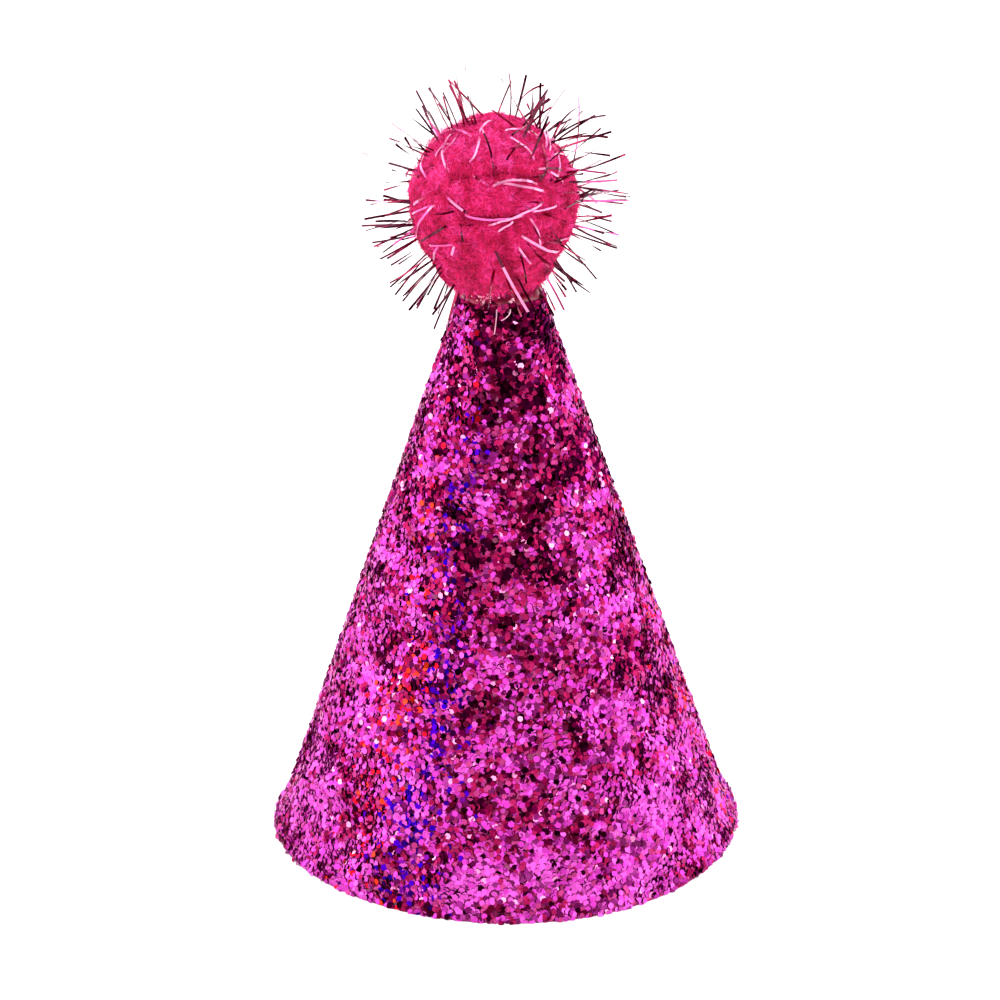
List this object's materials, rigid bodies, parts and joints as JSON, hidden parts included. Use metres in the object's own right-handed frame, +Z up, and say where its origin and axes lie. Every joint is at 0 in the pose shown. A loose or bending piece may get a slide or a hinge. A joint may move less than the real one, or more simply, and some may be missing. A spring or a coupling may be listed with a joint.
{
  "type": "mini party hat",
  "caption": "Miniature cone party hat covered in chunky hexagonal glitter, topped with a fluffy pom-pom shot through with metallic tinsel threads.",
  "frame": {"origin": "centre of the rim, on the plane that the hat stands on", "axes": "+Z up through the pom-pom; -Y is the front; the lapped seam of the glitter sheet runs up the back, at +Y"},
  "size_m": [0.0676, 0.0691, 0.112],
  "materials": {
    "glitter": "gloss",
    "card": "matte",
    "hot_glue": "satin",
    "pompom_fibre": "matte",
    "tie_thread": "matte",
    "tinsel_film": "gloss"
  },
  "bodies": {
    "root": {"glitter_sheet": "glitter", "glitter_sheet_seam_glue": "hot_glue", "inner_card_cone": "card", "inner_card_seam_glue": "hot_glue", "tip_hot_glue": "hot_glue", "pompom_tie_thread": "tie_thread", "pompom_fibre_ball": "pompom_fibre", "tinsel_thread_01": "tinsel_film", "tinsel_thread_02": "tinsel_film", "tinsel_thread_03": "tinsel_film", "tinsel_thread_04": "tinsel_film", "tinsel_thread_05": "tinsel_film", "tinsel_thread_06": "tinsel_film", "tinsel_thread_07": "tinsel_film", "tinsel_thread_08": "tinsel_film", "tinsel_thread_09": "tinsel_film", "tinsel_thread_10": "tinsel_film", "tinsel_thread_11": "tinsel_film", "tinsel_thread_12": "tinsel_film", "tinsel_thread_13": "tinsel_film", "tinsel_thread_14": "tinsel_film", "tinsel_thread_15": "tinsel_film", "tinsel_thread_16": "tinsel_film", "tinsel_thread_17": "tinsel_film", "tinsel_thread_18": "tinsel_film", "tinsel_thread_19": "tinsel_film", "tinsel_thread_20": "tinsel_film", "tinsel_thread_21": "tinsel_film", "tinsel_thread_22": "tinsel_film", "tinsel_thread_23": "tinsel_film", "tinsel_thread_24": "tinsel_film", "tinsel_thread_25": "tinsel_film", "tinsel_thread_26": "tinsel_film", "tinsel_thread_27": "tinsel_film", "tinsel_thread_28": "tinsel_film", "tinsel_thread_29": "tinsel_film", "tinsel_thread_30": "tinsel_film", "tinsel_thread_31": "tinsel_film", "tinsel_thread_32": "tinsel_film", "tinsel_thread_33": "tinsel_film", "tinsel_thread_34": "tinsel_film", "tinsel_thread_35": "tinsel_film", "tinsel_thread_36": "tinsel_film", "tinsel_thread_37": "tinsel_film", "tinsel_thread_38": "tinsel_film", "tinsel_thread_39": "tinsel_film"}
  },
  "joints": []
}
